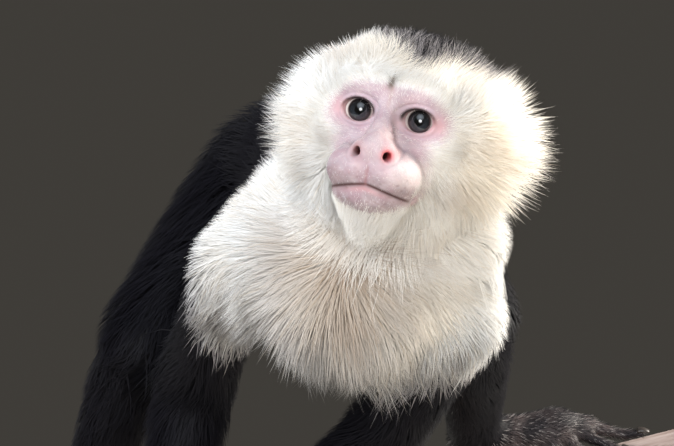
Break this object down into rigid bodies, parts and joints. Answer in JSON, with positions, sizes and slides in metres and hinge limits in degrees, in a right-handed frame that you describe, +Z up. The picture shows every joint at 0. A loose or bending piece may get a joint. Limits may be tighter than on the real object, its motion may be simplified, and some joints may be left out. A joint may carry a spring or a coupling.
{
  "type": "still model of a white-faced capuchin monkey",
  "caption": "Life-size still model of a white-faced capuchin monkey crouching on a cut forked branch, on a display stand.",
  "frame": {"origin": "middle of the whole model's bounding box, on the underside of the stand's base", "axes": "+Z up; the monkey faces -Y; +X is the monkey's left"},
  "size_m": [0.4968, 0.3912, 0.4963],
  "materials": {
    "white_coat": "long soft cream-white fur",
    "black_coat": "dense black fur with a slight sheen",
    "bare_skin": "bare pink skin",
    "dark_skin": "dark grey skin with thin short hair",
    "eye": "wet glossy brown",
    "branch_wood": "pale weathered bark",
    "base_wood": "dark satin varnish",
    "rod_steel": "brushed"
  },
  "bodies": {
    "root": {"head": "white_coat", "neck": "white_coat", "chest": "white_coat", "abdomen": "black_coat", "ear_left": "bare_skin", "ear_right": "bare_skin", "eye_left": "eye", "eye_right": "eye", "upper_arm_left": "black_coat", "upper_arm_right": "black_coat", "forearm_left": "black_coat", "forearm_right": "black_coat", "hand_left": "dark_skin", "hand_right": "dark_skin", "thigh_left": "black_coat", "thigh_right": "black_coat", "shin_left": "black_coat", "shin_right": "black_coat", "foot_left": "dark_skin", "foot_right": "dark_skin", "tail_1": "black_coat", "tail_2": "black_coat", "tail_3": "black_coat", "tail_4": "black_coat", "tail_5": "black_coat", "perch_branch": "branch_wood", "perch_fork": "branch_wood", "stand_base": "base_wood", "stand_rod_1": "rod_steel", "stand_rod_2": "rod_steel"}
  },
  "joints": []
}
